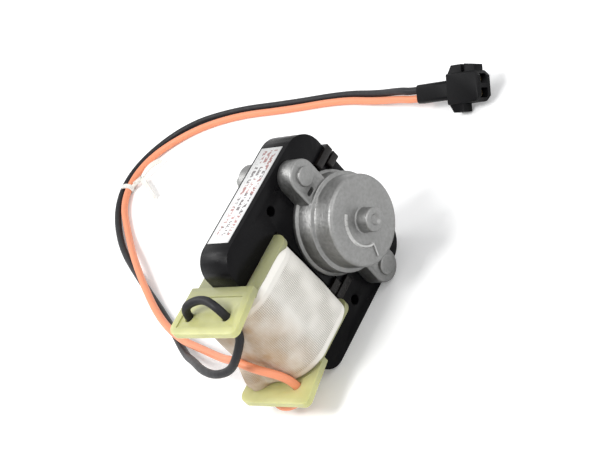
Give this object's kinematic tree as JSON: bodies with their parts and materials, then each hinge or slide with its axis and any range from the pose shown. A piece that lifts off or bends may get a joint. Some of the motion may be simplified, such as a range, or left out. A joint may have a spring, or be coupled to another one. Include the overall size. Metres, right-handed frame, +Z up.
{
  "type": "condenser fan motor",
  "caption": "Shaded pole condenser fan motor with a laminated open frame, die-cast bearing brackets, a taped coil on a green bobbin and two leads to a small connector.",
  "frame": {"origin": "on the shaft axis, at the start of the output shaft's free length", "axes": "+Y along the shaft to its free end; +X to the rotor end of the frame; +Z up, through the labelled leg"},
  "size_m": [0.1513, 0.201, 0.0592],
  "materials": {
    "core_enamel": "black baked enamel over laminated steel",
    "die_cast": "tumbled die-cast metal",
    "bearing_bronze": "oil-soaked sintered bronze",
    "wick_felt": "oil-soaked felt",
    "zinc_steel": "zinc-plated steel",
    "ground_steel": "ground shaft steel",
    "rotor_steel": "turned lamination steel",
    "cage_aluminium": "cast aluminium",
    "spacer_nylon": "natural nylon",
    "shading_copper": "copper bar dipped in black enamel",
    "coil_tape": "woven glass cloth tape",
    "coil_copper": "enamelled copper wire",
    "bobbin_nylon": "translucent pale green nylon",
    "label_film": "white printed film",
    "lead_black": "black lead insulation",
    "lead_orange": "orange lead insulation",
    "tie_nylon": "white nylon",
    "connector_nylon": "black moulded nylon",
    "terminal_brass": "tinned brass"
  },
  "bodies": {
    "root": {"core_stack": "core_enamel", "core_bar": "core_enamel", "shading_ring_1": "shading_copper", "shading_ring_2": "shading_copper", "shading_ring_3": "shading_copper", "shading_ring_4": "shading_copper", "front_bracket": "die_cast", "rear_bracket": "die_cast", "front_bearing": "bearing_bronze", "rear_bearing": "bearing_bronze", "front_oil_wick": "wick_felt", "rear_oil_wick": "wick_felt", "front_bearing_retainer": "zinc_steel", "rear_bearing_retainer": "zinc_steel", "bracket_screw_1": "zinc_steel", "bracket_screw_2": "zinc_steel", "winding_tape": "coil_tape", "copper_winding": "coil_copper", "bobbin": "bobbin_nylon", "label": "label_film", "black_lead": "lead_black", "orange_lead": "lead_orange", "cable_tie": "tie_nylon", "connector_housing": "connector_nylon", "connector_sleeve": "connector_nylon", "terminal_1": "terminal_brass", "terminal_2": "terminal_brass"},
    "rotor": {"shaft": "ground_steel", "rotor_core": "rotor_steel", "rotor_cage": "cage_aluminium", "front_rotor_spacer": "spacer_nylon", "rear_rotor_spacer": "spacer_nylon", "front_thrust_washer": "zinc_steel", "rear_thrust_washer": "zinc_steel"}
  },
  "joints": [
    {"name": "rotor_spin", "type": "hinge", "parent": "root", "child": "rotor", "pos_m": [0, 0, 0], "axis": [0, 1, 0], "continuous": true}
  ]
}
